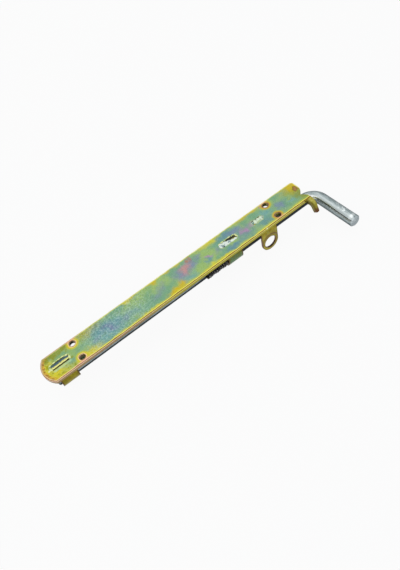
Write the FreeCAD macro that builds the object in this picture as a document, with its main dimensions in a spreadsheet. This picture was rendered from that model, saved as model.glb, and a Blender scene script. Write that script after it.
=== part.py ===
import FreeCAD, Part
import math
import os

import Sketcher

# Spring door bolt: a round bolt with a bent handle slides and turns in two strap guides
# under a flat plate. A coil spring between a cross pin and the rear guide drives it out.
# Origin: centre of the four screw holes, on the face that is screwed down.
# X runs from the bolt's tip to its handle, Z out of the screwed face. Lengths in mm, angles in degrees.

SIZES = {
    # plate
    "plate_width": 30.0,
    "plate_thickness": 4.0,
    "hole_pitch_long": 233.0,
    "hole_pitch_cross": 19.2,
    "hole_diameter": 6.0,
    "nose_margin": 36.5,
    "nose_rise": 6.5,
    "tail_margin": 40.5,
    "tail_corner_radius": 4.0,
    "edge_round": 0.5,
    # notch in the tail, beside the handle's bend
    "notch_depth": 6.5,
    "notch_offset": 4.6,
    "lobe_run": 10.5,
    "notch_flank": 6.2,
    # prong that the handle is turned behind
    "prong_setback": 1.3,
    "prong_width": 6.8,
    "prong_taper": 2.8,
    "prong_reach": 5.8,
    "prong_bend_radius": 2.0,
    "prong_angle": 55.0,
    "prong_length": 7.2,
    "prong_tip_radius": 1.2,
    # bolt
    "rod_diameter": 12.7,
    "axis_depth": 17.7,
    "tip_setback": 6.3,
    "handle_gap": 15.4,
    "handle_length": 59.2,
    "bend_radius": 14.0,
    "end_chamfer": 1.0,
    # strap guides
    "strap_thickness": 2.5,
    "strap_width": 18.0,
    "strap_seam": 0.3,
    "strap_neck_radius": 2.0,
    "rod_clearance": 0.3,
    "front_guide_inset": 18.0,
    "rear_guide_inset": 56.5,
    "stem_recess": 0.4,
    # slots that the stems are welded in
    "slot_side_gap": 0.6,
    "slot_end_gap": 1.75,
    # padlock eye
    "eye_inset": 17.0,
    "eye_radius": 10.0,
    "eye_hole_diameter": 14.0,
    "eye_depth": 21.7,
    "eye_thickness": 2.0,
    "eye_bend_radius": 2.0,
    "eye_foot_reach": 4.5,
    "eye_plug_offset": 1.9,
    "eye_plug_length": 13.0,
    "eye_plug_width": 5.0,
    # cross pin and spring
    "spring_length": 24.5,
    "pin_diameter": 3.0,
    "pin_length": 19.0,
    "pin_fit": 0.02,
    "pin_chamfer": 0.4,
    "wire_diameter": 1.6,
    "spring_turns": 10.0,
    "spring_end_gap": 0.3,
    "closed_coil_gap": 0.1,
}
WIRE_RUNS = 20
WIRE_SIDES = 8

doc = FreeCAD.newDocument("SpringDoorBolt")
sheet = doc.addObject("Spreadsheet::Sheet", "Sizes")
for row, (alias, number) in enumerate(SIZES.items(), start=1):
    sheet.set(f"A{row}", alias)
    sheet.set(f"B{row}", str(number))
    sheet.setAlias(f"B{row}", alias)
doc.recompute()


class Dim:
    """A measure worked out from the sheet, kept both as a number and as the sheet's formula."""

    def __init__(self, number, formula):
        self.number = number
        self.formula = formula

    def __add__(self, other):
        other = as_dim(other)
        return Dim(self.number + other.number, f"({self.formula} + {other.formula})")

    def __sub__(self, other):
        other = as_dim(other)
        return Dim(self.number - other.number, f"({self.formula} - {other.formula})")

    def __mul__(self, other):
        other = as_dim(other)
        return Dim(self.number * other.number, f"({self.formula} * {other.formula})")

    def __truediv__(self, other):
        other = as_dim(other)
        return Dim(self.number / other.number, f"({self.formula} / {other.formula})")

    def __neg__(self):
        return Dim(-self.number, f"(0 - {self.formula})")


def as_dim(value):
    return value if isinstance(value, Dim) else Dim(float(value), repr(float(value)))


def size(alias):
    return Dim(SIZES[alias], f"Sizes.{alias}")


def root(dim):
    return Dim(math.sqrt(dim.number), f"sqrt({dim.formula})")


def sine(dim):
    return Dim(math.sin(math.radians(dim.number)), f"sin({dim.formula})")


def cosine(dim):
    return Dim(math.cos(math.radians(dim.number)), f"cos({dim.formula})")


def bind(owner, prop, dim):
    owner.setExpression(prop, dim.formula)


def new_body(label):
    body = doc.addObject("PartDesign::Body", label)
    body.Label = label
    return body


def place_body(body, x=None, z=None):
    for axis, dim in (("x", x), ("z", z)):
        if dim is not None:
            bind(body, f"Placement.Base.{axis}", dim)


def new_sketch(body, role, name, offset=None):
    sketch = body.newObject("Sketcher::SketchObject", name)
    plane = next(item for item in body.Origin.OriginFeatures if item.Role == role)
    sketch.AttachmentSupport = [(plane, "")]
    sketch.MapMode = "FlatFace"
    if offset is not None:
        bind(sketch, "AttachmentOffset.Base.z", offset)
    return sketch


def pin_down(sketch, kind, formula_dim, *references):
    index = sketch.addConstraint(Sketcher.Constraint(kind, *references, formula_dim.number))
    sketch.setExpression(f"Constraints[{index}]", formula_dim.formula)


def fix_point(sketch, geometry, end, point):
    pin_down(sketch, "DistanceX", as_dim(point[0]), -1, 1, geometry, end)
    pin_down(sketch, "DistanceY", as_dim(point[1]), -1, 1, geometry, end)


class Arc:
    """The round stretch from one corner to the next: its centre and its sense."""

    def __init__(self, centre, anticlockwise):
        self.centre = centre
        self.anticlockwise = anticlockwise


def vector(point):
    return FreeCAD.Vector(as_dim(point[0]).number, as_dim(point[1]).number, 0)


def draw_outline(sketch, stops):
    """Closed outline. Each stop is a corner and the way on from it: None, or an Arc."""
    first_ends = []
    last_ends = []
    for index, (point, way) in enumerate(stops):
        start = vector(point)
        end = vector(stops[(index + 1) % len(stops)][0])
        if way is None:
            geometry = sketch.addGeometry(Part.LineSegment(start, end), False)
            ends = (1, 2)
        else:
            centre = vector(way.centre)
            low, high = (start, end) if way.anticlockwise else (end, start)
            low_angle = math.atan2(low.y - centre.y, low.x - centre.x)
            high_angle = math.atan2(high.y - centre.y, high.x - centre.x)
            if high_angle <= low_angle:
                high_angle += 2 * math.pi
            circle = Part.Circle(centre, FreeCAD.Vector(0, 0, 1), (start - centre).Length)
            geometry = sketch.addGeometry(Part.ArcOfCircle(circle, low_angle, high_angle), False)
            ends = (1, 2) if way.anticlockwise else (2, 1)
            upright = abs(end.y - start.y) > abs(end.x - start.x)
            kind, across = ("DistanceX", way.centre[0]) if upright else ("DistanceY", way.centre[1])
            pin_down(sketch, kind, as_dim(across), -1, 1, geometry, 3)
        first_ends.append((geometry, ends[0]))
        last_ends.append((geometry, ends[1]))
    for index, (point, way) in enumerate(stops):
        sketch.addConstraint(Sketcher.Constraint("Coincident", *last_ends[index - 1], *first_ends[index]))
        fix_point(sketch, *first_ends[index], point)
    return sketch


def draw_circle(sketch, centre, radius):
    circle = Part.Circle(vector(centre), FreeCAD.Vector(0, 0, 1), as_dim(radius).number)
    geometry = sketch.addGeometry(circle, False)
    pin_down(sketch, "Radius", as_dim(radius), geometry)
    fix_point(sketch, geometry, 3, centre)


def draw_slot(sketch, centre, length, width):
    """Slot with round ends, its length along X."""
    reach = (length - width) / 2
    radius = width / 2
    left = centre[0] - reach
    right = centre[0] + reach
    below = centre[1] - radius
    above = centre[1] + radius
    draw_outline(sketch, [
        ((left, below), None),
        ((right, below), Arc((right, centre[1]), True)),
        ((right, above), None),
        ((left, above), Arc((left, centre[1]), True)),
    ])


def pad(body, sketch, length, symmetric=False, reverse=False):
    feature = body.newObject("PartDesign::Pad", sketch.Name + "_pad")
    feature.Profile = sketch
    bind(feature, "Length", as_dim(length))
    feature.Midplane = symmetric
    feature.Reversed = reverse
    doc.recompute()
    return feature


def pocket(body, sketch):
    """Cuts the sketch right through, both ways, and checks that it cut."""
    before = body.Shape.Volume
    feature = body.newObject("PartDesign::Pocket", sketch.Name + "_cut")
    feature.Profile = sketch
    feature.Type = 1
    feature.Midplane = True
    doc.recompute()
    if not body.Shape.Volume < before:
        raise RuntimeError(sketch.Name + " cuts nothing")
    return feature


def edges_where(shape, wanted):
    return [f"Edge{index}" for index, edge in enumerate(shape.Edges, start=1) if wanted(edge)]


def ease_edges(body, kind, amount, wanted):
    """Fillet or chamfer on the edges that are wanted."""
    base = body.Tip
    names = edges_where(base.Shape, wanted)
    feature = body.newObject("PartDesign::" + kind, body.Name + "_" + kind.lower())
    feature.Base = (base, names)
    bind(feature, "Radius" if kind == "Fillet" else "Size", amount)
    doc.recompute()
    return feature


NEAR = 1e-4

half_width = size("plate_width") / 2
half_pitch = size("hole_pitch_long") / 2
nose_x = -(half_pitch + size("nose_margin"))
tail_x = half_pitch + size("tail_margin")
axis_z = -size("axis_depth")
rod_radius = size("rod_diameter") / 2
slot_width = (size("strap_thickness") + size("slot_side_gap")) * 2 + size("strap_seam")
slot_length = size("strap_width") + size("slot_end_gap") * 2
GUIDES = {
    "front_guide": nose_x + size("front_guide_inset"),
    "rear_guide": half_pitch - size("rear_guide_inset"),
}
eye_x = half_pitch - size("eye_inset")
handle_x = tail_x + size("handle_gap")
spring_stop_x = GUIDES["rear_guide"] - size("strap_width") / 2
pin_x = spring_stop_x - size("spring_length") - size("pin_diameter") / 2


# The plate: 4 mm strip with a round nose, four screw holes, a slot over each guide
# and a shorter one over the padlock eye. At the tail a notch leaves room for the
# handle's bend, and the corner beside it runs out into a prong that is bent down.
def make_plate():
    body = new_body("base_plate")
    corner = size("tail_corner_radius")
    nose_radius = (half_width * half_width + size("nose_rise") * size("nose_rise")) / (size("nose_rise") * 2)
    prong_x = tail_x - size("prong_setback")
    notch = (tail_x - size("notch_depth"), -size("notch_offset"))
    lobe_y = size("lobe_run") - size("notch_offset")
    lobe_radius = (size("notch_depth") * size("notch_depth") + size("lobe_run") * size("lobe_run")) / (
        size("notch_depth") * 2)
    outline = new_sketch(body, "XY_Plane", "plate_outline")
    draw_outline(outline, [
        ((nose_x + size("nose_rise"), -half_width), None),
        ((prong_x, -half_width), None),
        ((prong_x, notch[1] - size("notch_flank")), None),
        (notch, Arc((tail_x - lobe_radius, lobe_y), True)),
        ((tail_x, lobe_y), None),
        ((tail_x, half_width - corner), Arc((tail_x - corner, half_width - corner), True)),
        ((tail_x - corner, half_width), None),
        ((nose_x + size("nose_rise"), half_width), Arc((nose_x + nose_radius, 0), True)),
    ])
    pad(body, outline, size("plate_thickness"), reverse=True)
    ease_edges(body, "Fillet", size("edge_round"), lambda edge: abs(edge.BoundBox.ZMin) < NEAR)
    add_prong(body, prong_x)
    holes = new_sketch(body, "XY_Plane", "screw_holes")
    for x in (-half_pitch, half_pitch):
        for y in (-size("hole_pitch_cross") / 2, size("hole_pitch_cross") / 2):
            draw_circle(holes, (x, y), size("hole_diameter") / 2)
    pocket(body, holes)
    slots = new_sketch(body, "XY_Plane", "guide_slots")
    for place in GUIDES.values():
        draw_slot(slots, (place, as_dim(0)), slot_length, slot_width)
    draw_slot(slots, (eye_x - size("eye_plug_offset"), as_dim(0)),
              size("eye_plug_length") + size("slot_side_gap") * 2,
              size("eye_plug_width") + size("slot_side_gap") * 2)
    pocket(body, slots)
    return body


# The prong leaves the plate flat, turns down, and narrows to a round tip on its tail side.
def add_prong(body, prong_x):
    thick = size("plate_thickness")
    inner = size("prong_bend_radius")
    outer = inner + thick
    out = sine(size("prong_angle"))
    down = cosine(size("prong_angle"))
    root_y = -(half_width - size("edge_round") * 2)
    turn_y = -(half_width + size("prong_reach"))
    centre = (turn_y, -outer)
    outer_turn = (turn_y - outer * out, -outer + outer * down)
    inner_turn = (turn_y - inner * out, -outer + inner * down)
    run = size("prong_length")
    outer_tip = (outer_turn[0] - run * down, outer_turn[1] - run * out)
    inner_tip = (inner_turn[0] - run * down, inner_turn[1] - run * out)
    side = new_sketch(body, "YZ_Plane", "prong_side", prong_x)
    draw_outline(side, [
        ((root_y, 0), None),
        ((turn_y, 0), Arc(centre, True)),
        (outer_turn, None),
        (outer_tip, None),
        (inner_tip, None),
        (inner_turn, Arc(centre, False)),
        ((turn_y, -thick), None),
        ((root_y, -thick), None),
    ])
    pad(body, side, size("prong_width"), reverse=True)
    taper = new_sketch(body, "XY_Plane", "prong_taper_cut")
    past_root = prong_x + size("edge_round")
    past_tip = outer_tip[0] - size("edge_round")
    draw_outline(taper, [
        ((past_root, -half_width), None),
        ((prong_x - size("prong_taper"), past_tip), None),
        ((past_root, past_tip), None),
    ])
    pocket(body, taper)

    def at_the_tip(edge):
        ends = [(vertex.Y, vertex.Z) for vertex in edge.Vertexes]
        tips = [(point[0].number, point[1].number) for point in (outer_tip, inner_tip)]
        return len(ends) == 2 and all(
            min(math.dist(end, tip) for end in ends) < NEAR for tip in tips)

    ease_edges(body, "Fillet", size("prong_tip_radius"), at_the_tip)


# A guide: one strap bent round the bolt, its two ends brought together into a stem
# that stands in a slot of the plate, where it is welded.
def make_guide(label, place):
    body = new_body(label)
    thick = size("strap_thickness")
    seam = size("strap_seam") / 2
    neck = size("strap_neck_radius")
    bore = rod_radius + size("rod_clearance")
    outer = bore + thick
    neck_y = seam + thick + neck
    neck_z = axis_z + root((outer + neck) * (outer + neck) - neck_y * neck_y)
    top = -size("stem_recess")

    def on_ring(radius, side):
        share = radius / (outer + neck)
        return (neck_y * share * side, axis_z + (neck_z - axis_z) * share)

    ring = (as_dim(0), axis_z)
    section = new_sketch(body, "YZ_Plane", label + "_section")
    draw_outline(section, [
        ((seam, top), None),
        ((seam + thick, top), None),
        ((seam + thick, neck_z), Arc((neck_y, neck_z), True)),
        (on_ring(outer, 1), Arc(ring, False)),
        (on_ring(outer, -1), Arc((-neck_y, neck_z), True)),
        ((-(seam + thick), neck_z), None),
        ((-(seam + thick), top), None),
        ((-seam, top), None),
        ((-seam, neck_z), Arc((-neck_y, neck_z), False)),
        (on_ring(bore, -1), Arc(ring, True)),
        (on_ring(bore, 1), Arc((neck_y, neck_z), False)),
        ((seam, neck_z), None),
    ])
    pad(body, section, size("strap_width"), symmetric=True)
    place_body(body, x=place)
    return body


# The padlock eye: an angle whose foot lies under the plate, held by a plug of weld
# in the short slot, and whose upright drops past the bolt to a round end with a hole.
def make_eye():
    body = new_body("padlock_eye")
    thick = size("eye_thickness")
    under = -size("plate_thickness")
    front = -half_width
    inner = size("eye_bend_radius")
    outer = inner + thick
    centre = (front + outer, under - outer)
    middle_z = -size("eye_depth")
    angle = new_sketch(body, "YZ_Plane", "eye_angle")
    draw_outline(angle, [
        ((size("eye_foot_reach"), under), None),
        ((front + outer, under), Arc(centre, True)),
        ((front, under - outer), None),
        ((front, middle_z), None),
        ((front + thick, middle_z), None),
        ((front + thick, under - outer), Arc(centre, False)),
        ((front + outer, under - thick), None),
        ((size("eye_foot_reach"), under - thick), None),
    ])
    pad(body, angle, size("eye_radius") * 2, symmetric=True)
    disc = new_sketch(body, "XZ_Plane", "eye_round_end", -front)
    draw_circle(disc, (as_dim(0), middle_z), size("eye_radius"))
    pad(body, disc, thick, reverse=True)
    hole = new_sketch(body, "XZ_Plane", "eye_hole")
    draw_circle(hole, (as_dim(0), middle_z), size("eye_hole_diameter") / 2)
    pocket(body, hole)
    plug = new_sketch(body, "XY_Plane", "eye_plug", under)
    draw_slot(plug, (-size("eye_plug_offset"), as_dim(0)), size("eye_plug_length"), size("eye_plug_width"))
    pad(body, plug, size("plate_thickness") - size("stem_recess"))
    place_body(body, x=eye_x)
    return body


# The bolt: round bar, its end bent square into a handle, cross-drilled for the pin.
def make_bolt():
    body = new_body("bolt_rod")
    tip_x = nose_x + size("tip_setback")
    bend = size("bend_radius")
    path = new_sketch(body, "XY_Plane", "bolt_path")
    start = vector((tip_x, 0))
    turn_in = vector((handle_x - bend, 0))
    turn_out = vector((handle_x, -bend))
    end = vector((handle_x, -size("handle_length")))
    centre = vector((handle_x - bend, -bend))
    shank = path.addGeometry(Part.LineSegment(start, turn_in), False)
    circle = Part.Circle(centre, FreeCAD.Vector(0, 0, 1), bend.number)
    elbow = path.addGeometry(Part.ArcOfCircle(circle, 0, math.pi / 2), False)
    grip = path.addGeometry(Part.LineSegment(turn_out, end), False)
    path.addConstraint(Sketcher.Constraint("Coincident", shank, 2, elbow, 2))
    path.addConstraint(Sketcher.Constraint("Coincident", elbow, 1, grip, 1))
    fix_point(path, shank, 1, (tip_x, 0))
    fix_point(path, shank, 2, (handle_x - bend, 0))
    fix_point(path, grip, 1, (handle_x, -bend))
    fix_point(path, grip, 2, (handle_x, -size("handle_length")))
    pin_down(path, "Radius", bend, elbow)
    section = new_sketch(body, "YZ_Plane", "bolt_section", tip_x)
    draw_circle(section, (as_dim(0), as_dim(0)), rod_radius)
    doc.recompute()
    bar = body.newObject("PartDesign::AdditivePipe", "bolt_bar")
    bar.Profile = section
    bar.Spine = (path, ["Edge1", "Edge2", "Edge3"])
    doc.recompute()

    def at_an_end(edge):
        box = edge.BoundBox
        at_tip = box.XMax < tip_x.number + NEAR
        at_grip = box.YMax < end.y + NEAR
        return at_tip or at_grip

    ease_edges(body, "Chamfer", size("end_chamfer"), at_an_end)
    drill = new_sketch(body, "XZ_Plane", "pin_hole")
    draw_circle(drill, (pin_x, as_dim(0)), size("pin_diameter") / 2 + size("pin_fit"))
    pocket(body, drill)
    place_body(body, z=axis_z)
    return body


# The cross pin: driven through the bolt, so that the spring's end bears on it.
def make_pin():
    body = new_body("cross_pin")
    round_end = new_sketch(body, "XZ_Plane", "pin_section")
    draw_circle(round_end, (as_dim(0), as_dim(0)), size("pin_diameter") / 2)
    pad(body, round_end, size("pin_length"), symmetric=True)
    ease_edges(body, "Chamfer", size("pin_chamfer"), lambda edge: edge.BoundBox.YLength < NEAR)
    place_body(body, x=pin_x, z=axis_z)
    return body


# The spring: wire coiled round the bolt, from the cross pin to the rear guide. The turn at
# each end is closed. The wire is an eight-sided bar in short straight runs, to keep it light.
def make_spring():
    wire = size("wire_diameter")
    coil = rod_radius + size("rod_clearance") + wire / 2
    start = pin_x + size("pin_diameter") / 2 + wire / 2 + size("spring_end_gap")
    end = spring_stop_x - wire / 2 - size("spring_end_gap")
    closed_pitch = (wire + size("closed_coil_gap")).number
    open_turns = SIZES["spring_turns"] - 2
    open_pitch = ((end - start).number - 2 * closed_pitch) / open_turns
    runs = round(SIZES["spring_turns"] * WIRE_RUNS)
    nodes = []
    for run in range(runs + 1):
        turns = run / WIRE_RUNS
        opened = min(max(turns - 1, 0), open_turns)
        angle = 2 * math.pi * (turns - 0.5 / WIRE_RUNS)
        along = (turns - opened) * closed_pitch + opened * open_pitch
        nodes.append(FreeCAD.Vector(coil.number * math.cos(angle), coil.number * math.sin(angle), along))
    line = doc.addObject("Part::Polygon", "spring_line")
    line.Nodes = nodes
    line.Close = False
    section = doc.addObject("Part::RegularPolygon", "spring_wire")
    section.Polygon = WIRE_SIDES
    bind(section, "Circumradius", wire / 2)
    section.Placement = FreeCAD.Placement(nodes[0], FreeCAD.Rotation(FreeCAD.Vector(0, 0, 1), nodes[1] - nodes[0]))
    doc.recompute()
    spring = doc.addObject("Part::Sweep", "spring")
    spring.Label = "spring"
    spring.Sections = [section]
    spring.Spine = (line, [f"Edge{index}" for index in range(1, runs + 1)])
    spring.Solid = True
    spring.Frenet = False
    spring.Transition = "Right corner"
    spring.Placement.Rotation = FreeCAD.Rotation(FreeCAD.Vector(0, 1, 0), 90)
    bind(spring, "Placement.Base.x", start)
    bind(spring, "Placement.Base.z", axis_z)
    doc.recompute()
    return spring


parts = [make_plate()]
for guide_label, guide_place in GUIDES.items():
    parts.append(make_guide(guide_label, guide_place))
parts += [make_eye(), make_bolt(), make_pin(), make_spring()]
doc.recompute()

for item in doc.Objects:
    if {"Invalid", "Error"} & set(item.State):
        raise RuntimeError(f"{item.Name} failed: {item.State}")
for part in parts:
    if part.Shape.isNull() or not part.Shape.isValid() or not part.Shape.Solids:
        raise RuntimeError(f"{part.Label} is not a valid solid")

os.makedirs("parts", exist_ok=True)
for part in parts:
    part.Shape.exportStep(f"parts/{part.Label}.step")
    box = part.Shape.BoundBox
    print(f"{part.Label}: {part.Shape.Volume:.0f} mm3, X {box.XMin:.1f} to {box.XMax:.1f}, "
          f"Y {box.YMin:.1f} to {box.YMax:.1f}, Z {box.ZMin:.1f} to {box.ZMax:.1f}")
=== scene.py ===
import math

import bpy
from mathutils import Matrix, Vector


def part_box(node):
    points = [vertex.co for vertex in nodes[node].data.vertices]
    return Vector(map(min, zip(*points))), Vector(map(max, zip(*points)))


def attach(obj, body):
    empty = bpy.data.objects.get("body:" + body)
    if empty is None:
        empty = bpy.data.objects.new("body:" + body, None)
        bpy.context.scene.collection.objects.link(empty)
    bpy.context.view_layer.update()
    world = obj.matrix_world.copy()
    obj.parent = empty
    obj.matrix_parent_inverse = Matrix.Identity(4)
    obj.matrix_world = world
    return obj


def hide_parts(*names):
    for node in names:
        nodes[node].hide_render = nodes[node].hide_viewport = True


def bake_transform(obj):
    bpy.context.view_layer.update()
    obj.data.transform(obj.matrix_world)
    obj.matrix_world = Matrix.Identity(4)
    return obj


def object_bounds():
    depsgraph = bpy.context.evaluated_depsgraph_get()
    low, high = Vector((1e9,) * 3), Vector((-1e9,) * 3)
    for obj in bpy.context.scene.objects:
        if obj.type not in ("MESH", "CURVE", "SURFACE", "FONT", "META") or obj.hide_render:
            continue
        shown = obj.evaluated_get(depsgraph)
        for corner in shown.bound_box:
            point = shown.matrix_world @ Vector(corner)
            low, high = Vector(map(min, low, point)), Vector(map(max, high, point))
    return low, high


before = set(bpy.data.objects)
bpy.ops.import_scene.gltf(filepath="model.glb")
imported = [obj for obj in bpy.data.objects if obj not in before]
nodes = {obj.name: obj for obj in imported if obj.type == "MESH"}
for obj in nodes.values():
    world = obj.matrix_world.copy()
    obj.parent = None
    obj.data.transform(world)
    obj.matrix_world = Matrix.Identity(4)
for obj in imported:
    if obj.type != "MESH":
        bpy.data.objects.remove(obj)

cad_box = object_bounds()
scene = bpy.context.scene
scene.view_settings.view_transform = "Standard"

# Base plate
# A 4 mm strip of rolled steel, cropped and punched, zinc plated and passivated yellow. The
# film is yellow along the rims and round the holes, with soft green, blue and rose between.
MM = 0.001
HALF_WIDTH = 15 * MM
THICKNESS = 4 * MM
NOSE_X = -153 * MM
NOSE_RADIUS = 20.56 * MM
TAIL_X = 157 * MM
HOLE_X = 116.5 * MM
HOLE_Y = 9.6 * MM
HOLE_WALL = 6.2 * MM
PRONG_LEFT = 148.9 * MM
DIMPLE_AT = (153.3 * MM, 5 * MM)
DIMPLE_SIZE = (6.2 * MM, 7.0 * MM)
# Where a small weld tack on the near edge over the eye is painted as a bright glint, and its size.
TACK_GLINT_AT = (97.5 * MM, -HALF_WIDTH, -0.8 * MM)
TACK_GLINT_SIZE = (0.9 * MM, 0.8 * MM, 1.2 * MM)


def tone(red, green, blue):
    """A colour given as it looks on a screen, 0 to 255, as the linear values a shader wants."""
    def linear(value):
        share = value / 255
        return share / 12.92 if share <= 0.04045 else ((share + 0.055) / 1.055) ** 2.4
    return (linear(red), linear(green), linear(blue))


STRAW = tone(198, 188, 26)
MOSS = tone(128, 134, 12)
OLIVE = tone(158, 152, 40)
AMBER = tone(188, 166, 4)
LEAF = tone(140, 170, 98)
SEA_GREEN = tone(108, 152, 116)
ICE_BLUE = tone(100, 150, 152)
SLATE = tone(88, 128, 142)
LILAC = tone(118, 122, 156)
ROSE = tone(164, 122, 162)
SALMON = tone(180, 130, 128)
RUST = tone(160, 108, 92)
TAN = tone(184, 150, 104)
UMBER = tone(92, 62, 30)
PEARL = tone(226, 222, 180)
BLUSH = tone(226, 190, 150)
CHESTNUT = tone(122, 84, 48)
PINK = tone(206, 146, 126)


class Graph:
    """The nodes of one material, added and joined by short calls."""

    def __init__(self, name):
        self.material = bpy.data.materials.new(name)
        self.material.use_nodes = True
        self.nodes = self.material.node_tree.nodes
        self.links = self.material.node_tree.links
        self.shader = self.nodes["Principled BSDF"]
        self.place = self.nodes.new("ShaderNodeTexCoord").outputs["Object"]

    def feed(self, socket, value):
        if isinstance(value, bpy.types.NodeSocket):
            self.links.new(value, socket)
        elif socket.type == "RGBA" and len(value) == 3:
            socket.default_value = (*value, 1)
        else:
            socket.default_value = value

    def math(self, operation, *values):
        node = self.nodes.new("ShaderNodeMath")
        node.operation = operation
        for index, value in enumerate(values):
            self.feed(node.inputs[index], value)
        return node.outputs[0]

    def vector_math(self, operation, *values, output="Vector"):
        node = self.nodes.new("ShaderNodeVectorMath")
        node.operation = operation
        for index, value in enumerate(values):
            self.feed(node.inputs[index], value)
        return node.outputs[output]

    def split(self, vector=None):
        node = self.nodes.new("ShaderNodeSeparateXYZ")
        self.links.new(vector or self.place, node.inputs[0])
        return tuple(node.outputs)

    def joined(self, x, y, z):
        node = self.nodes.new("ShaderNodeCombineXYZ")
        for socket, value in zip(node.inputs, (x, y, z)):
            self.feed(socket, value)
        return node.outputs[0]

    def mapped(self, vector=None, location=(0, 0, 0), scale=(1, 1, 1), turn=0.0):
        """The vector in a frame of its own, with its origin, unit lengths and turn about Z."""
        node = self.nodes.new("ShaderNodeMapping")
        node.vector_type = "TEXTURE"
        node.inputs["Location"].default_value = location
        node.inputs["Rotation"].default_value = (0, 0, math.radians(turn))
        node.inputs["Scale"].default_value = scale
        self.links.new(vector or self.place, node.inputs["Vector"])
        return node.outputs[0]

    def patch(self, vector, middle, size, turn):
        """How far out the vector lies in a turned oval: 0 in its middle, 1 on its outline."""
        cosine, sine = math.cos(math.radians(turn)), math.sin(math.radians(turn))
        offset = self.vector_math("SUBTRACT", vector, (*middle, 0))
        along, across = (size[0] / 2, size[1] / 2)
        ways = (cosine / along, sine / along, 0), (-sine / across, cosine / across, 0)
        shares = [self.vector_math("DOT_PRODUCT", offset, way, output="Value") for way in ways]
        return self.length(*shares, 0.0)

    def length(self, x, y, z):
        return self.vector_math("LENGTH", self.joined(x, y, z), output="Value")

    def noise(self, scale, detail=3.0, roughness=0.5, vector=None, colour=False):
        node = self.nodes.new("ShaderNodeTexNoise")
        node.inputs["Scale"].default_value = scale
        node.inputs["Detail"].default_value = detail
        node.inputs["Roughness"].default_value = roughness
        self.links.new(vector or self.place, node.inputs["Vector"])
        return node.outputs["Color" if colour else "Fac"]

    def between(self, value, low, high, to_low=0.0, to_high=1.0):
        """A soft step from to_low to to_high as the value goes from low to high."""
        node = self.nodes.new("ShaderNodeMapRange")
        node.interpolation_type = "SMOOTHSTEP"
        for name, item in (("Value", value), ("From Min", low), ("From Max", high),
                           ("To Min", to_low), ("To Max", to_high)):
            self.feed(node.inputs[name], item)
        return node.outputs["Result"]

    def band(self, value, low, high, soft):
        """1 where the value lies from low to high, fading over soft on both sides."""
        return self.math("MULTIPLY", self.between(value, low - soft, low + soft),
                         self.between(value, high - soft, high + soft, 1.0, 0.0))

    def mix(self, share, first, second):
        node = self.nodes.new("ShaderNodeMix")
        node.data_type = "RGBA"
        self.feed(node.inputs["Factor"], share)
        for name, item in (("A", first), ("B", second)):
            self.feed(next(s for s in node.inputs if s.name == name and s.type == "RGBA"), item)
        return next(s for s in node.outputs if s.type == "RGBA")

    def times(self, *values):
        product = values[0]
        for value in values[1:]:
            product = self.math("MULTIPLY", product, value)
        return product

    def bump(self, height, distance, strength, under=None):
        node = self.nodes.new("ShaderNodeBump")
        node.inputs["Strength"].default_value = strength
        node.inputs["Distance"].default_value = distance
        self.feed(node.inputs["Height"], height)
        if under is not None:
            self.links.new(under, node.inputs["Normal"])
        return node.outputs["Normal"]

    def finish(self, colour, roughness, normal=None, **sockets):
        for name, value in (("Base Color", colour), ("Roughness", roughness), ("Normal", normal)):
            if value is not None:
                self.feed(self.shader.inputs[name], value)
        for name, value in sockets.items():
            self.shader.inputs[name.replace("_", " ")].default_value = value
        return self.material


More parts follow.
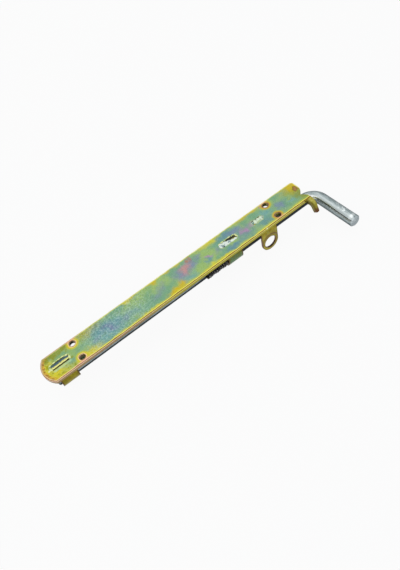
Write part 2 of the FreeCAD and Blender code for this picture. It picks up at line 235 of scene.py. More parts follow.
# Each cloud of colour in the film: the colour, its middle along and across the plate and
# its length and breadth in millimetres, its turn in degrees, and how strongly it shows.
CLOUDS = (
    (LEAF, -126, 0, 50, 30, 0, 0.9),
    (STRAW, -142, -8, 34, 20, 0, 1.0),
    (STRAW, -148, 3, 18, 22, 0, 1.0),
    (SEA_GREEN, -131, 7, 18, 8, -8, 0.8),
    (MOSS, -140, 11, 24, 9, 0, 1.0),
    (MOSS, -124, 12.5, 22, 8, 0, 0.9),
    (SEA_GREEN, -125, -6, 15, 7, 0, 0.8),
    (SEA_GREEN, -114, 0, 16, 9, 0, 0.5),
    (STRAW, -110, -12, 34, 10, 0, 1.0),
    (OLIVE, -100, 10, 34, 13, 0, 0.9),
    (STRAW, -104, -11, 26, 11, 0, 0.8),
    (STRAW, -54, 13, 16, 8, 0, 0.8),
    (ICE_BLUE, -84, -1, 52, 23, 0, 0.95),
    (ICE_BLUE, -86, -9, 34, 11, 0, 0.6),
    (SLATE, -81, 1, 32, 14, -20, 0.75),
    (LILAC, -80, -1, 20, 7, -38, 0.75),
    (LILAC, -97, -3, 12, 6, 10, 0.4),
    (LILAC, -62, -2, 16, 6, 20, 0.55),
    (ICE_BLUE, -53, -2, 24, 16, 0, 0.6),
    (LEAF, -44, 3, 18, 16, 0, 0.4),
    (AMBER, -23, 13.5, 14, 8, 0, 0.9),
    (AMBER, -47, 13.5, 16, 6, 0, 0.6),
    (AMBER, -7, 13.5, 9, 5, 0, 0.7),
    (AMBER, 5, 13.5, 9, 5, 0, 0.6),
    (LILAC, -20, 3, 14, 10, 30, 0.4),
    (LILAC, -28, -3, 18, 9, 10, 0.4),
    (AMBER, -12, -12, 28, 10, 8, 1.0),
    (AMBER, -3, -8, 11, 9, 50, 1.0),
    (LILAC, 4, 0, 19, 19, 0, 0.85),
    (STRAW, -40, -13.5, 40, 5, 0, 0.7),
    (LILAC, 16, 4, 16, 15, 30, 0.8),
    (SALMON, 8, 2, 12, 13, 20, 0.9),
    (SALMON, 12, 6, 12, 7, 35, 0.7),
    (RUST, 18.5, 9.5, 6, 8, 0, 0.85),
    (ICE_BLUE, 8, -9, 20, 9, 0, 0.7),
    (LEAF, 21, -7, 16, 11, 0, 0.95),
    (LILAC, 27, 6, 7, 9, 0, 0.6),
    (LEAF, 34, 8, 11, 14, 0, 0.45),
    (SLATE, 33, -5, 10, 12, 0, 0.85),
    (ROSE, 35, -1, 12, 4, -25, 0.7),
    (LEAF, 43, 0, 7, 22, 0, 0.4),
    (STRAW, 45, 13, 32, 8, 0, 0.85),
    (STRAW, 40, -13.5, 44, 6, 0, 0.85),
    (LILAC, 46, -2, 9, 9, 0, 0.5),
    (SLATE, 66, 7.5, 36, 11, 0, 0.95),
    (SLATE, 62, -9.5, 30, 9, 0, 0.95),
    (LILAC, 73, 5, 20, 10, 0, 0.6),
    (SLATE, 80, -4, 24, 20, 0, 0.8),
    (ROSE, 80, -1.5, 12, 9, 0, 0.8),
    (ROSE, 90, 1, 10, 7, 0, 0.5),
    (AMBER, 95, 13.5, 34, 6, 0, 0.8),
    (SLATE, 102, -7, 22, 12, 0, 0.7),
    (ICE_BLUE, 110, 2, 18, 13, 0, 0.8),
    (SLATE, 128, -2, 18, 18, 0, 0.75),
    (LILAC, 127, -1, 8, 9, 0, 0.55),
    (SEA_GREEN, 136, -7, 22, 12, 0, 0.8),
    (LEAF, 143, 1, 12, 20, -30, 0.8),
    (ICE_BLUE, 141, -4, 10, 9, 0, 0.7),
    (MOSS, 150, 6, 22, 22, -30, 1.0),
    (AMBER, 155, 12, 38, 24, 0, 1.0),
    (ROSE, 117.2, -14, 9, 6, 0, 0.9),
    (ROSE, 112.5, 12, 6, 5, 0, 0.6),
    (MOSS, 154, -8, 18, 18, 0, 1.0),
)


def outline_distance(graph, x, y):
    """How far a point of the plate's face lies inside its outline."""
    side = graph.math("SUBTRACT", HALF_WIDTH, graph.math("ABSOLUTE", y))
    tail = graph.math("SUBTRACT", TAIL_X, x)
    ray = graph.length(graph.math("SUBTRACT", x, NOSE_X + NOSE_RADIUS), y, 0.0)
    nose = graph.math("SUBTRACT", NOSE_RADIUS, ray)
    behind_nose = graph.between(x, NOSE_X + 10 * MM, NOSE_X + 14 * MM)
    nose = graph.math("ADD", nose, behind_nose)
    return graph.math("MINIMUM", graph.math("MINIMUM", side, tail), nose)


def clouded_film(graph, warped):
    """The clouds, one over another, and the film's own slow change of thickness."""
    film = graph.mix(graph.between(graph.noise(45, detail=2), 0.42, 0.6), SEA_GREEN, LEAF)
    for colour, along, across, length, breadth, turn, strength in CLOUDS:
        radius = graph.patch(warped, (along * MM, across * MM), (length * MM, breadth * MM), turn)
        film = graph.mix(graph.between(radius, 0.1, 1.35, strength, 0.0), film, colour)
    breath = graph.noise(90, detail=5, roughness=0.65)
    film = graph.mix(graph.between(breath, 0.52, 0.7, 0.0, 0.3), film, ICE_BLUE)
    return graph.mix(graph.between(breath, 0.46, 0.3, 0.0, 0.3), film, LEAF)


def veined_film(graph, film, x):
    """The zinc's fine pale and dark veins, the bath's streaks, and the thick film at the nose."""
    spangled = graph.band(x, -108 * MM, -38 * MM, 14 * MM)
    drained = graph.mapped(scale=(9 * MM, 0.9 * MM, 9 * MM), turn=50)
    streaks = graph.noise(1.0, detail=3, vector=drained)
    fleck = graph.math("ADD", graph.math("MULTIPLY", spangled, 0.3), 0.08)
    veins = ((graph.noise(360, detail=4, roughness=0.6), tone(196, 220, 214)),
             (graph.noise(260, detail=4, roughness=0.6), tone(58, 84, 100)))
    for pattern, vein_tone in veins:
        vein = graph.math("ABSOLUTE", graph.math("SUBTRACT", pattern, 0.5))
        film = graph.mix(graph.times(graph.between(vein, 0.05, 0.0), fleck), film, vein_tone)
    film = graph.mix(graph.between(streaks, 0.64, 0.76, 0.0, 0.25), film, PEARL)
    at_nose = graph.between(x, -112 * MM, -124 * MM)
    thick = graph.between(graph.noise(210, detail=4, roughness=0.65), 0.5, 0.62, 0.0, 0.75)
    return graph.mix(graph.times(at_nose, thick), film, MOSS), streaks


# Each ring of film round a hole: where it starts and where it is full, in millimetres from
# the hole's middle, how strongly it shows, and its colour at the nose and at the tail.
HOLE_RINGS = (
    (7.4, 4.2, 0.95, STRAW, AMBER),
    (4.5, 4.1, 0.8, BLUSH, RUST),
    (3.7, 3.3, 0.85, CHESTNUT, UMBER),
)


def ringed_film(graph, film, rim_x, rim_y, y):
    """The rings round the four holes, and the pink run between each hole and its rim."""
    for hole_x in (-HOLE_X, HOLE_X):
        for hole_y in (-HOLE_Y, HOLE_Y):
            ray = graph.length(graph.math("SUBTRACT", rim_x, hole_x),
                               graph.math("SUBTRACT", rim_y, hole_y), 0.0)
            for start, full, strength, at_nose, at_tail in HOLE_RINGS:
                ring = graph.between(ray, start * MM, full * MM, 0.0, strength)
                film = graph.mix(ring, film, at_tail if hole_x > 0 else at_nose)
            begin, end = (-2 * MM, -4.5 * MM) if hole_y < 0 else (2.5 * MM, 4.5 * MM)
            outside = graph.between(y, hole_y + begin, hole_y + end)
            around = graph.between(ray, 8.0 * MM, 5.0 * MM, 0.0, 0.85)
            film = graph.mix(graph.times(outside, around), film, PINK)
    return film


# Each slot: its middle along the plate, and its length and breadth, in millimetres.
SLOTS = ((-135, 21.5, 6.5), (60, 21.5, 6.5), (97.6, 14.2, 6.2))
SLOT_LIP = 0.7
# The slit, painted black as shade in the gap along the front slot's near edge, and the smear beside
# it: from where to where, along and across.
SLIT_ALONG = (-143.5 * MM, -125.5 * MM)
SHADE_SLIT_ACROSS = (-3.5 * MM, -3.1 * MM)
SMEAR_ACROSS = (-6.0 * MM, -4.0 * MM)


def slotted_film(graph, film, x, y, mottle):
    """The lips of the slots, painted pale in patches as highlights, and the black slit painted as
    shade and the pale smear beside the front one.
    """
    for middle, length, breadth in SLOTS:
        along = graph.math("ABSOLUTE", graph.math("SUBTRACT", x, middle * MM))
        straight = (length - breadth) / 2 * MM
        past_end = graph.math("MAXIMUM", graph.math("SUBTRACT", along, straight), 0.0)
        ray = graph.length(past_end, y, 0.0)
        # the slot lips painted pale as highlights, in patches
        lip = graph.band(ray, breadth / 2 * MM, (breadth / 2 + SLOT_LIP) * MM, 0.15 * MM)
        lip_highlight_patches = graph.between(mottle, 0.44, 0.6, 0.0, 0.6)
        film = graph.mix(graph.times(lip, lip_highlight_patches), film, tone(220, 222, 150))
    wander = graph.math("MULTIPLY", graph.math("SUBTRACT", mottle, 0.5), 1.6 * MM)
    slit_y = graph.math("ADD", y, wander)
    along_slit = graph.band(x, *SLIT_ALONG, 1.2 * MM)
    smear = graph.band(slit_y, *SMEAR_ACROSS, 0.9 * MM)
    film = graph.mix(graph.times(smear, along_slit, 0.6), film, tone(176, 206, 170))
    # the black slit: painted shade in the gap along the front slot's near edge
    shade_slit = graph.band(slit_y, *SHADE_SLIT_ACROSS, 0.25 * MM)
    return graph.mix(graph.times(shade_slit, along_slit, 0.9), film, tone(34, 40, 16))


def rim_lines(graph, film, x, y, rim, near_side, mottle):
    """The thin lines that follow the rim: rusty and ragged at the nose, then a cream line painted
    as a highlight, and brown; the outermost line is painted pale as a highlight on the far half.
    """
    near_nose = graph.between(x, -140 * MM, -149 * MM)
    wander = graph.math("MULTIPLY", graph.math("SUBTRACT", mottle, 0.5), 6 * MM)
    ragged = graph.math("ADD", rim, wander)
    rust_spots = graph.between(graph.noise(420, detail=3), 0.42, 0.58)
    rusty = graph.mix(rust_spots, tone(146, 92, 36), tone(204, 158, 62))
    rusty_band = graph.band(ragged, 1.6 * MM, 3.8 * MM, 0.7 * MM)
    film = graph.mix(graph.times(rusty_band, near_nose, 0.85), film, rusty)
    brown_line = graph.band(rim, 1.1 * MM, 1.7 * MM, 0.3 * MM)
    film = graph.mix(graph.times(brown_line, near_nose, 0.85), film, tone(126, 84, 48))
    to_nose = graph.between(x, -96 * MM, -118 * MM)
    # a cream line painted as a highlight just inside the rim, stronger on the near side
    cream_highlight = graph.mix(to_nose, tone(236, 228, 130), tone(238, 206, 176))
    cream_highlight_line = graph.band(rim, 1.0 * MM, 1.5 * MM, 0.2 * MM)
    film = graph.mix(graph.times(cream_highlight_line, near_side, 0.8), film, cream_highlight)
    # the outermost line: brown on the near half, painted pale as a highlight on the far half
    far_half = graph.between(y, -2 * MM, 2 * MM)
    near_line = graph.mix(to_nose, tone(128, 92, 22), tone(160, 104, 90))
    far_highlight_line = graph.mix(to_nose, PEARL, tone(196, 160, 140))
    outer_line = graph.mix(far_half, near_line, far_highlight_line)
    return graph.mix(graph.between(rim, 0.9 * MM, 0.6 * MM), film, outer_line)


def sheared_edge(graph, x, z):
    """The plate's edge: a painted highlight along its crest, a brown seam in the middle, dark and
    torn at the bottom.
    """
    tan_edge = graph.between(x, -10 * MM, -60 * MM)
    edge = graph.mix(tan_edge, tone(176, 168, 54), tone(164, 138, 98))
    # the crest painted pale as a highlight
    crest_highlight = graph.mix(tan_edge, tone(232, 222, 130), tone(238, 212, 176))
    edge = graph.mix(graph.between(z, -1.4 * MM, -1.1 * MM), edge, crest_highlight)
    seam = graph.band(z, -2.2 * MM, -1.8 * MM, 0.25 * MM)
    edge = graph.mix(graph.times(seam, 0.4), edge, UMBER)
    edge = graph.mix(graph.between(z, -3.3 * MM, -3.9 * MM, 0.0, 0.8), edge, tone(70, 54, 20))
    torn = graph.mapped(scale=(0.35 * MM, 0.35 * MM, 2.4 * MM))
    grain = graph.noise(1.0, detail=4, vector=torn)
    return graph.mix(graph.between(grain, 0.5, 0.3, 0.0, 0.35), edge, UMBER)


def passivated_plate():
    graph = Graph("yellow_zinc_plate")
    x, y, z = graph.split()
    drift = graph.noise(150, detail=4, colour=True)
    drift = graph.vector_math("SUBTRACT", drift, (0.5, 0.5, 0.5))
    drift = graph.vector_math("MULTIPLY", drift, (16 * MM, 10 * MM, 0))
    warped = graph.vector_math("ADD", graph.place, drift)
    film = clouded_film(graph, warped)
    mottle = graph.noise(330, detail=4, roughness=0.65)
    film, streaks = veined_film(graph, film, x)

    slight = graph.vector_math("MULTIPLY", drift, (0.16, 0.16, 0))
    rim_x, rim_y, _ = graph.split(graph.vector_math("ADD", graph.place, slight))
    rim = outline_distance(graph, rim_x, rim_y)
    rim_width = graph.between(graph.noise(60, detail=2), 0.35, 0.65, 2.8 * MM, 5.0 * MM)
    near_side = graph.between(y, 6 * MM, -6 * MM, 0.55, 1.0)
    along_rim = graph.between(rim, graph.times(rim_width, near_side), 0.3 * MM)
    film = graph.mix(graph.times(along_rim, near_side), film, STRAW)
    film = ringed_film(graph, film, rim_x, rim_y, y)
    film = slotted_film(graph, film, x, y, mottle)
    film = rim_lines(graph, film, x, y, rim, near_side, mottle)
    edge = sheared_edge(graph, x, z)
    on_edge = graph.times(graph.between(z, -0.2 * MM, -0.5 * MM),
                          graph.between(z, -3.97 * MM, -3.9 * MM))
    colour = graph.mix(on_edge, film, edge)

    on_prong = graph.between(y, -HALF_WIDTH - 0.1 * MM, -HALF_WIDTH - 0.6 * MM)
    prong = graph.mix(graph.between(mottle, 0.4, 0.65), tone(146, 138, 44), tone(178, 172, 88))
    shaded = graph.between(x, PRONG_LEFT + 2.6 * MM, PRONG_LEFT + 1.0 * MM, 0.0, 0.8)
    prong = graph.mix(shaded, prong, tone(100, 90, 26))
    prong = graph.mix(graph.between(y, -26 * MM, -28.6 * MM, 0.0, 0.9), prong, tone(96, 56, 36))
    colour = graph.mix(on_prong, colour, prong)
    # painted shade down the walls of the four holes
    for hole_x in (-HOLE_X, HOLE_X):
        for hole_y in (-HOLE_Y, HOLE_Y):
            flat_place = graph.joined(x, y, 0.0)
            ray = graph.patch(flat_place, (hole_x, hole_y), (HOLE_WALL, HOLE_WALL), 0)
            hole_wall_shade = graph.times(graph.between(ray, 1.06, 1.02),
                                  graph.between(z, -0.2 * MM, -1.2 * MM, 0.0, 0.85))
            colour = graph.mix(hole_wall_shade, colour, tone(58, 50, 18))

    dimple = graph.patch(warped, DIMPLE_AT, DIMPLE_SIZE, 0)
    colour = graph.mix(graph.between(dimple, 1.15, 0.75, 0.0, 0.8), colour, tone(124, 92, 36))
    colour = graph.mix(graph.between(dimple, 0.7, 0.3, 0.0, 0.7), colour, tone(158, 112, 78))
    # a small weld tack on the near edge over the eye, painted as a bright glint
    tack_glint = graph.mapped(None, TACK_GLINT_AT, TACK_GLINT_SIZE)
    tack_glint = graph.vector_math("LENGTH", tack_glint, output="Value")
    colour = graph.mix(graph.between(tack_glint, 1.2, 0.5), colour, tone(250, 250, 190))

    rolled = graph.math("MULTIPLY", graph.noise(260, detail=5, roughness=0.65), 0.6)
    height = graph.math("ADD", rolled, graph.math("MULTIPLY", streaks, 0.4))
    normal = graph.bump(height, 0.12 * MM, 0.55)
    normal = graph.bump(graph.between(dimple, 0.2, 1.1), 0.5 * MM, 0.8, normal)
    roughness = graph.between(mottle, 0.3, 0.7, 0.24, 0.42)
    return graph.finish(colour, roughness, normal, Metallic=0.8)


def dress(name, material):
    """Give a CAD node one material, in place of its own."""
    slots = nodes[name].data.materials
    slots.clear()
    slots.append(material)


dress("base_plate", passivated_plate())

# Guides
# Two straps of 2.5 mm steel, each bent round the bar with its ends brought together into
# a double stem that stands in a slot of the plate. They go through the same yellow bath.


def passivated_strap(name, body_tones, far_stem_shade, lit_near_stem):
    graph = Graph("yellow_zinc_" + name)
    low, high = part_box(name)
    x, y, z = graph.split()
    grain = graph.noise(600, detail=3, roughness=0.7)
    cloud = graph.noise(120, detail=4, roughness=0.6)
    colour = graph.mix(graph.between(cloud, 0.4, 0.62), *body_tones)
    colour = graph.mix(graph.between(grain, 0.45, 0.3, 0.0, 0.4), colour, UMBER)
    # painted shade: darker towards the bottom of the strap, under the bar
    underside_shade = graph.between(z, low.z + 3.5 * MM, low.z + 0.6 * MM, 0.0, 0.8)
    colour = graph.mix(underside_shade, colour, tone(74, 58, 24))
    from_end = graph.math("MINIMUM", graph.math("SUBTRACT", x, low.x),
                          graph.math("SUBTRACT", high.x, x))
    colour = graph.mix(graph.between(from_end, 1.7 * MM, 0.7 * MM, 0.0, 0.85), colour, UMBER)
    in_slot = graph.between(z, -THICKNESS, -THICKNESS / 2)
    wander = graph.math("MULTIPLY", graph.math("SUBTRACT", graph.noise(330), 0.5), 1.4 * MM)
    ragged_y = graph.math("ADD", y, wander)
    # the stem's top in the slot: painted light on the near side and dark as shade on the far side,
    # and black as shade in the gap along its near edge
    stem_light_and_shade = graph.mix(graph.between(ragged_y, 0.2 * MM, 0.6 * MM), lit_near_stem, far_stem_shade)
    stem_light_and_shade = graph.mix(graph.between(ragged_y, -1.4 * MM, -1.8 * MM), stem_light_and_shade, tone(22, 22, 10))
    colour = graph.mix(in_slot, colour, stem_light_and_shade)
    normal = graph.bump(graph.noise(300, detail=5, roughness=0.65), 0.12 * MM, 0.5)
    return graph.finish(colour, graph.between(grain, 0.3, 0.7, 0.26, 0.44), normal, Metallic=0.6)


# Each guide's two body tones, and the tones of its stem's far and near side: the far side painted
# dark as shade, the near side painted light as lit.
GUIDE_TONES = {
    "front_guide": ((tone(128, 116, 6), tone(156, 144, 18)),
                    tone(66, 92, 104), tone(232, 230, 140)),
    "rear_guide": ((tone(106, 114, 36), tone(94, 128, 92)), tone(30, 28, 20), OLIVE),
}
for name, tones in GUIDE_TONES.items():
    dress(name, passivated_strap(name, *tones))

# Welds in the three slots
# Runs of weld laid from above on the guides' stems and the eye's plug. The metal is lumpy, as
# it froze, and stands just proud: bright at the rear guide and the eye, yellow elsewhere.
WELD_RISE = 0.35 * MM
WELD_DEPTH = 1.3 * MM
MELT_SIZE = 0.16 * MM
RIPPLE_SIZE = 1.6 * MM


def deselect():
    bpy.ops.object.select_all(action="DESELECT")


def weld_metal(name, hollow_shade, crest_highlight):
    graph = Graph(name)
    lump = graph.noise(320, detail=3, roughness=0.6)
    # the lumps painted light on their crests as highlights and dark in their hollows as shade
    colour = graph.mix(graph.between(lump, 0.40, 0.52), hollow_shade, crest_highlight)
    colour = graph.mix(graph.between(graph.noise(210, detail=2), 0.58, 0.7, 0.0, 0.6), colour, LEAF)
    normal = graph.bump(lump, 0.15 * MM, 0.6)
    return graph.finish(colour, 0.3, normal, Metallic=0.7)


BRIGHT_WELD = weld_metal("bright_weld", tone(120, 142, 150), tone(216, 226, 218))
PALE_WELD = weld_metal("pale_weld", tone(118, 146, 134), tone(208, 222, 196))
YELLOW_WELD = weld_metal("yellow_weld", tone(140, 164, 84), tone(220, 226, 160))


def weld_run(name, lumps, metal, unevenness):
    """Overlapping lumps, each (x, y, length, breadth) in millimetres, melted into one run."""
    deselect()
    made = []
    for along, across, length, breadth in lumps:
        bpy.ops.mesh.primitive_uv_sphere_add(
            segments=32, ring_count=18, radius=1,
            location=(along * MM, across * MM, WELD_RISE - WELD_DEPTH))
        ball = bpy.context.object
        ball.scale = (length * MM / 2, breadth * MM / 2, WELD_DEPTH)
        made.append(ball)
    for ball in made:
        ball.select_set(True)
    bpy.context.view_layer.objects.active = made[0]
    bpy.ops.object.join()
    weld = bpy.context.object
    weld.name = name
    bpy.ops.object.transform_apply(location=True, rotation=True, scale=True)
    melt = weld.modifiers.new("melt", "REMESH")
    melt.mode = "VOXEL"
    melt.voxel_size = MELT_SIZE
    melt.use_smooth_shade = True
    ripple = weld.modifiers.new("ripple", "DISPLACE")
    ripple.texture = bpy.data.textures.new(name + "_ripple", "CLOUDS")
    ripple.texture.noise_scale = RIPPLE_SIZE
    ripple.strength = unevenness * MM
    ripple.mid_level = 0.62
    ripple.texture_coords = "LOCAL"
    settle = weld.modifiers.new("settle", "SMOOTH")
    settle.factor = 0.5
    settle.iterations = 3
    for modifier in list(weld.modifiers):
        bpy.ops.object.modifier_apply(modifier=modifier.name)
    weld.data.materials.append(metal)
    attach(weld, "plate")


weld_run("rear_guide_weld", (
    (52.0, 0.9, 6.6, 7.6), (56.2, 0.0, 6.6, 7.8), (60.2, -1.3, 6.4, 6.6),
    (64.2, -2.1, 6.4, 5.0), (67.8, -2.2, 4.6, 4.0)), BRIGHT_WELD, 0.45)
weld_run("rear_guide_far_weld", (
    (51.5, 3.3, 4.0, 2.2), (55.0, 3.8, 5.5, 2.0), (59.5, 3.9, 5.5, 1.9), (64.0, 3.9, 5.5, 1.9),
    (68.0, 3.4, 4.5, 2.0), (70.4, 1.8, 2.2, 4.4), (70.8, -0.6, 2.0, 4.0)), YELLOW_WELD, 0.25)
weld_run("eye_weld", (
    (92.4, 0.6, 5.5, 4.6), (95.6, 0.2, 6.0, 7.2), (99.2, -0.2, 6.0, 7.4),
    (102.6, 0.2, 5.4, 6.2), (105.0, 0.6, 3.6, 3.4)), PALE_WELD, 0.32)
weld_run("front_guide_weld", (
    (-143.5, 3.5, 5.0, 2.2), (-139.5, 3.9, 5.5, 1.9), (-135.0, 4.1, 5.5, 1.9),
    (-130.5, 4.0, 5.5, 1.9), (-126.8, 3.3, 4.5, 2.1), (-124.6, 1.4, 2.0, 4.6),
    (-145.2, 1.0, 3.6, 4.6), (-146.8, -1.4, 3.4, 3.0), (-144.7, -0.8, 3.2, 5.4),
    (-125.2, -0.8, 3.0, 5.4)), YELLOW_WELD, 0.25)

# Padlock eye
# A bracket of 2 mm sheet: its foot lies under the plate, and its upright drops past the
# bar to a round end with a 14 mm hole. Yellow like the plate, browner on its cut edges.
EYE_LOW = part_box("padlock_eye")[0]
EYE_X = 99.5 * MM
EYE_Z = -21.7 * MM
EYE_OUTLINE = 10 * MM
EYE_MIDDLE_RING = 8.5 * MM


def passivated_eye():
    graph = Graph("yellow_zinc_eye")
    x, y, z = graph.split()
    cloud = graph.noise(110, detail=4, roughness=0.6)
    grain = graph.noise(600, detail=3, roughness=0.7)
    colour = graph.mix(graph.between(cloud, 0.38, 0.62), tone(142, 126, 16), tone(172, 160, 34))
    colour = graph.mix(graph.between(graph.noise(190, detail=3), 0.58, 0.7, 0.0, 0.6), colour, LEAF)
    colour = graph.mix(graph.between(grain, 0.45, 0.3, 0.0, 0.45), colour, UMBER)
    ray = graph.length(graph.math("SUBTRACT", x, EYE_X), 0.0, graph.math("SUBTRACT", z, EYE_Z))
    ring = graph.math("ABSOLUTE", graph.math("SUBTRACT", ray, EYE_MIDDLE_RING))
    off_middle = graph.between(ring, 0.5 * MM, 1.3 * MM)
    inside = graph.between(ray, EYE_OUTLINE + 1.5 * MM, EYE_OUTLINE + 0.5 * MM)
    colour = graph.mix(graph.times(off_middle, inside, 0.75), colour, tone(104, 64, 30))
    side = graph.math("ABSOLUTE", graph.math("SUBTRACT", x, EYE_X))
    at_side = graph.between(side, EYE_OUTLINE - 0.8 * MM, EYE_OUTLINE - 0.3 * MM, 0.0, 0.85)
    colour = graph.mix(at_side, colour, tone(96, 60, 30))
    cut = graph.times(graph.band(y, EYE_LOW.y + 0.12 * MM, EYE_LOW.y + 1.88 * MM, 0.06 * MM),
                      graph.between(z, -THICKNESS - 2 * MM, -THICKNESS - 4 * MM))
    colour = graph.mix(graph.math("MULTIPLY", cut, 0.9), colour, tone(112, 72, 44))
    normal = graph.bump(graph.noise(300, detail=5, roughness=0.65), 0.12 * MM, 0.5)
    return graph.finish(colour, graph.between(grain, 0.3, 0.7, 0.26, 0.44), normal, Metallic=0.6)


dress("padlock_eye", passivated_eye())

# Bolt
# Half-inch round bar, bright drawn, bent square into the handle and zinc plated blue-white.
# Drawing lines run along it, darker where the bath ran thin, and the handle is scuffed.
AXIS_Z = -17.7 * MM
HANDLE_X = 172.4 * MM
HANDLE_END = -59.2 * MM
GRIP = (-58 * MM, -30 * MM)
# Where the bend is, as the place along the bar less the place across it.
BEND = (172 * MM, 184 * MM)
LINE_STRETCH = 30.0
# Each patch painted white as a highlight on the handle's top: its middle and its size in
# millimetres, and its turn in degrees.
HIGHLIGHT_PATCHES = (((171.0, -55.2), (7.0, 4.0), 0), ((165.0, -7.0), (3.6, 14.0), 32))


def drawn_bar():
    graph = Graph("white_zinc_bar")
    x, y, z = graph.split()
    on_handle = graph.between(graph.math("SUBTRACT", x, y), *BEND)
    around_shank = graph.math("ARCTAN2", y, graph.math("SUBTRACT", z, AXIS_Z))
    around_handle = graph.math("ARCTAN2", graph.math("SUBTRACT", HANDLE_X, x),
                               graph.math("SUBTRACT", z, AXIS_Z))
    shank = graph.joined(graph.math("MULTIPLY", x, LINE_STRETCH),
                         graph.math("COSINE", around_shank), graph.math("SINE", around_shank))
    handle = graph.joined(graph.math("MULTIPLY", y, LINE_STRETCH),
                          graph.math("COSINE", around_handle), graph.math("SINE", around_handle))
    lines_shank = graph.noise(3.2, detail=5, roughness=0.7, vector=shank)
    lines_handle = graph.noise(3.2, detail=5, roughness=0.7, vector=handle)
    on_shank = graph.math("SUBTRACT", 1.0, on_handle)
    lines = graph.math("ADD", graph.math("MULTIPLY", lines_shank, on_shank),
                       graph.math("MULTIPLY", lines_handle, on_handle))
    colour = graph.mix(graph.between(lines, 0.36, 0.6), tone(116, 128, 130), tone(160, 172, 173))
    blotch = graph.noise(140, detail=4, roughness=0.65)
    colour = graph.mix(graph.between(blotch, 0.52, 0.7, 0.0, 0.5), colour, tone(104, 118, 124))
    # the handle, both flanks painted darker as a reflection of dark surroundings, with a broken
    # dark line painted as a dark reflection along the left flank
    flank_dark_reflection = graph.math("MAXIMUM", graph.between(around_handle, 1.4, 1.7),
                        graph.between(around_handle, -0.45, -0.8))
    colour = graph.mix(graph.times(flank_dark_reflection, on_handle, 0.6), colour, tone(70, 82, 86))
    # a pale band painted as a highlight over the top of the handle
    highlight_band = graph.band(around_handle, 0.2, 1.25, 0.15)
    colour = graph.mix(graph.times(highlight_band, on_handle, 0.55), colour, tone(212, 220, 220))
    dark_reflection_line = graph.band(around_handle, 0.84, 0.98, 0.06)
    patchy = graph.between(graph.noise(110, detail=3), 0.38, 0.48)
    colour = graph.mix(graph.times(dark_reflection_line, patchy, on_handle, 0.95), colour, tone(26, 36, 38))
    # the handle's end face painted lighter, as lit
    lit_end_face = graph.between(y, HANDLE_END + 0.9 * MM, HANDLE_END + 0.3 * MM, 0.0, 0.6)
    colour = graph.mix(lit_end_face, colour, tone(192, 202, 206))
    # a stripe along the shank's near side painted dark as shade under the plate, and made rougher
    shade_from = graph.times(graph.between(x, 0.0, 60 * MM, 0.0, 3.5 * MM), on_shank)
    below_axis = graph.math("SUBTRACT", AXIS_Z, z)
    shade_and_dull = graph.times(graph.between(graph.math("ADD", below_axis, shade_from), -1.2 * MM, 0.4 * MM),
                       graph.between(below_axis, 1.8 * MM, 3.6 * MM, 1.0, 0.0),
                       graph.between(y, 0.0, -2 * MM), on_shank)
    colour = graph.mix(graph.math("MULTIPLY", shade_and_dull, 0.92), colour, tone(24, 30, 35))
    # scuffs on top of the grip, and two patches painted white as highlights, near the end and at
    # the bend
    dragged = graph.mapped(scale=(2.2 * MM, 5 * MM, 4 * MM), turn=8)
    scuffs = graph.noise(1.0, detail=5, roughness=0.75, vector=dragged)
    on_top = graph.times(graph.band(y, *GRIP, 4 * MM),
                         graph.between(around_handle, 0.5, 0.2),
                         graph.between(around_handle, -0.9, -0.6))
    scuffed = graph.times(graph.between(scuffs, 0.52, 0.62), on_top, 0.8)
    colour = graph.mix(scuffed, colour, tone(240, 246, 246))
    flat_place = graph.joined(x, y, 0.0)
    for middle, size, turn in HIGHLIGHT_PATCHES:
        highlight_patch = graph.patch(flat_place, [part * MM for part in middle],
                             [part * MM for part in size], turn)
        highlight_patch = graph.times(graph.between(highlight_patch, 1.5, 0.3),
                             graph.between(z, AXIS_Z + 2 * MM, AXIS_Z + 3.5 * MM),
                             graph.between(lines, 0.35, 0.6, 0.45, 1.0))
        colour = graph.mix(graph.math("MULTIPLY", highlight_patch, 0.8), colour, tone(238, 242, 242))
    normal = graph.bump(lines, 0.10 * MM, 0.5)
    normal = graph.bump(scuffs, 0.10 * MM, 0.3, normal)
    roughness = graph.math("ADD", graph.between(blotch, 0.3, 0.7, 0.2, 0.38),
                           graph.math("MULTIPLY", shade_and_dull, 0.25))
    return graph.finish(colour, roughness, normal, Metallic=0.85,
                        Specular_Tint=(0.45, 0.45, 0.45, 1))


dress("bolt_rod", drawn_bar())

# Cross pin
# A plain 3 mm steel pin driven through the bar in front of the spring and left dark and
# oily. The spring bears on its two ends and so drives the bolt out.


def dark_steel(name, wear_and_sheen_tone):
    graph = Graph(name)
    wear_and_sheen = graph.noise(700, detail=4, roughness=0.7)
    # lighter patches, partly wear and partly painted highlights on the wire
    colour = graph.mix(graph.between(wear_and_sheen, 0.5, 0.72), tone(26, 25, 28), wear_and_sheen_tone)
    normal = graph.bump(graph.noise(900, detail=3), 0.05 * MM, 0.5)
    return graph.finish(colour, graph.between(wear_and_sheen, 0.3, 0.7, 0.3, 0.5), normal, Metallic=0.8)


dress("cross_pin", dark_steel("dark_pin_steel", tone(90, 86, 84)))

# Spring
# Ten turns of 1.6 mm black spring wire round the bar, a closed turn at each end. It is
# held short while the bolt is drawn back, and pushes the pin away from the rear guide.
WIRE_RADIUS = 0.8 * MM
COIL_RADIUS = 7.45 * MM
COIL_WANDER = 0.28 * MM
TURNS = 10
POINTS_PER_TURN = 24
SPRING_FROM = 27.6 * MM
SPRING_TO = 49.9 * MM
CLOSED_PITCH = 1.7 * MM


def coil_place(turn):
    """How far along the bar the wire has come after this many turns."""
    open_turns = TURNS - 2
    open_pitch = (SPRING_TO - SPRING_FROM - 2 * CLOSED_PITCH) / open_turns
    opened = min(max(turn - 1, 0), open_turns)
    return SPRING_FROM + (turn - opened) * CLOSED_PITCH + opened * open_pitch


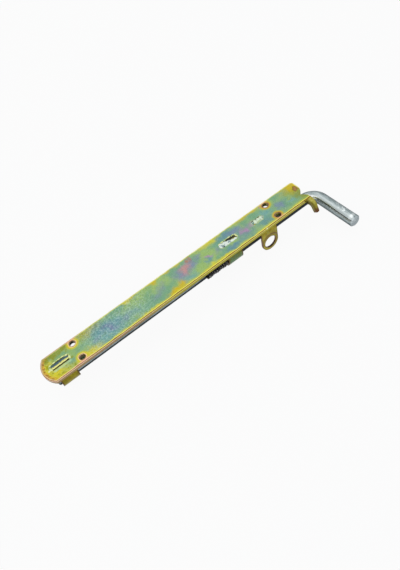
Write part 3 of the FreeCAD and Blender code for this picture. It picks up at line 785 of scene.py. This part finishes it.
deselect()
bpy.ops.curve.primitive_nurbs_path_add()
coil = bpy.context.object
coil.name = "coil_spring"
coil.data.splines.clear()
wire = coil.data.splines.new("POLY")
steps = TURNS * POINTS_PER_TURN
wire.points.add(steps)
for step, point in enumerate(wire.points):
    turn = step / POINTS_PER_TURN
    angle = 2 * math.pi * turn
    radius = COIL_RADIUS + COIL_WANDER * math.sin(1.7 * turn)
    across, above = radius * math.sin(angle), radius * math.cos(angle)
    point.co = (coil_place(turn), across, AXIS_Z + above, 1)
coil.data.bevel_depth = WIRE_RADIUS
coil.data.bevel_resolution = 3
coil.data.use_fill_caps = True
bpy.ops.object.convert(target="MESH")
bpy.ops.object.shade_smooth_by_angle(angle=math.radians(50))
coil.data.materials.append(dark_steel("dark_spring_steel", tone(150, 146, 146)))
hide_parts("spring")
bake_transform(coil)

# Floor, lights and camera
# A plain pale floor just under the padlock eye, which hangs lowest, and four large soft
# lamps. The background is white where it is seen, straight on or mirrored in the metal.
FLOOR_Z = cad_box[0][2] - 0.5 * MM
FLOOR_GREY = (0.9, 0.9, 0.9)
FLOOR_GLOW = 0.93
STUDIO_GREY = (0.40, 0.42, 0.44, 1)
WHITE = (1, 1, 1, 1)


def seen_rays(tree):
    """1 for rays that show the background, straight on, mirrored or through glass, else 0."""
    rays = tree.nodes.new("ShaderNodeLightPath").outputs
    seen = rays["Is Camera Ray"]
    for kind in ("Is Glossy Ray", "Is Transmission Ray"):
        either = tree.nodes.new("ShaderNodeMath")
        either.operation = "MAXIMUM"
        tree.links.new(seen, either.inputs[0])
        tree.links.new(rays[kind], either.inputs[1])
        seen = either.outputs[0]
    return seen


deselect()
bpy.ops.mesh.primitive_plane_add(size=8, location=(0, 0, FLOOR_Z))
floor = bpy.context.object
floor.name = "floor"
floor_graph = Graph("white_floor")
floor_graph.finish(FLOOR_GREY, 0.9)
glow = floor_graph.nodes.new("ShaderNodeEmission")
glow.inputs["Strength"].default_value = 1.0
blend_in = floor_graph.nodes.new("ShaderNodeMixShader")
seen = seen_rays(floor_graph.material.node_tree)
floor_graph.feed(blend_in.inputs[0], floor_graph.math("MULTIPLY", seen, FLOOR_GLOW))
floor_graph.feed(blend_in.inputs[1], floor_graph.shader.outputs[0])
floor_graph.feed(blend_in.inputs[2], glow.outputs[0])
floor_graph.feed(floor_graph.nodes["Material Output"].inputs["Surface"], blend_in.outputs[0])
floor.data.materials.append(floor_graph.material)

world = bpy.data.worlds.new("studio")
scene.world = world
world.use_nodes = True
sky = world.node_tree
background = sky.nodes["Background"]
background.inputs["Strength"].default_value = 1.0
shade = sky.nodes.new("ShaderNodeMix")
shade.data_type = "RGBA"
sky.links.new(seen_rays(sky), shade.inputs["Factor"])
unseen, shown = [socket for socket in shade.inputs if socket.type == "RGBA"]
unseen.default_value = STUDIO_GREY
shown.default_value = WHITE
sky.links.new(next(s for s in shade.outputs if s.type == "RGBA"), background.inputs["Color"])


def soft_box(name, place, target, length, breadth, power):
    lamp = bpy.data.lights.new(name, "AREA")
    lamp.shape = "RECTANGLE"
    lamp.size = length
    lamp.size_y = breadth
    lamp.energy = power
    holder = bpy.data.objects.new(name, lamp)
    scene.collection.objects.link(holder)
    way = (Vector(target) - Vector(place)).normalized()
    facing = way.to_track_quat("-Z", "Y").to_matrix().to_4x4()
    holder.matrix_world = Matrix.Translation(place) @ facing


soft_box("back_box", (0.3, 0.75, 0.95), (0, 0, 0), 1.3, 1.3, 2.0)
soft_box("overhead_box", (-0.25, -0.15, 1.0), (0, 0, 0), 0.9, 0.9, 0.8)
soft_box("front_box", (-0.35, -0.95, 0.35), (0, 0, 0), 1.2, 0.8, 0.8)
soft_box("left_box", (-0.85, -0.30, 0.50), (0.15, -0.05, 0), 1.2, 1.2, 1.2)

# The camera fitted to the photograph: its lens, where its axis meets the photograph in
# pixels, and its place in the object's frame.
PHOTO_WIDTH, PHOTO_HEIGHT = 400, 570
AXIS_ACROSS, AXIS_DOWN = 201.86, 293.53
LENS = 36.69
CAMERA_AT = (-0.1315, -0.3303, 0.4207)
camera_data = bpy.data.cameras.new("camera")
camera_data.lens = LENS
camera_data.shift_x = (PHOTO_WIDTH / 2 - AXIS_ACROSS) / PHOTO_HEIGHT
camera_data.shift_y = (AXIS_DOWN - PHOTO_HEIGHT / 2) / PHOTO_HEIGHT
camera = bpy.data.objects.new("camera", camera_data)
scene.collection.objects.link(camera)
right = Vector((0.778, -0.602, -0.179))
up = Vector((0.576, 0.569, 0.588))
back = right.cross(up).normalized()
up = back.cross(right).normalized()
right.normalize()
turn = Matrix((right, up, back)).transposed()
camera.matrix_world = Matrix.Translation(CAMERA_AT) @ turn.to_4x4()
scene.camera = camera
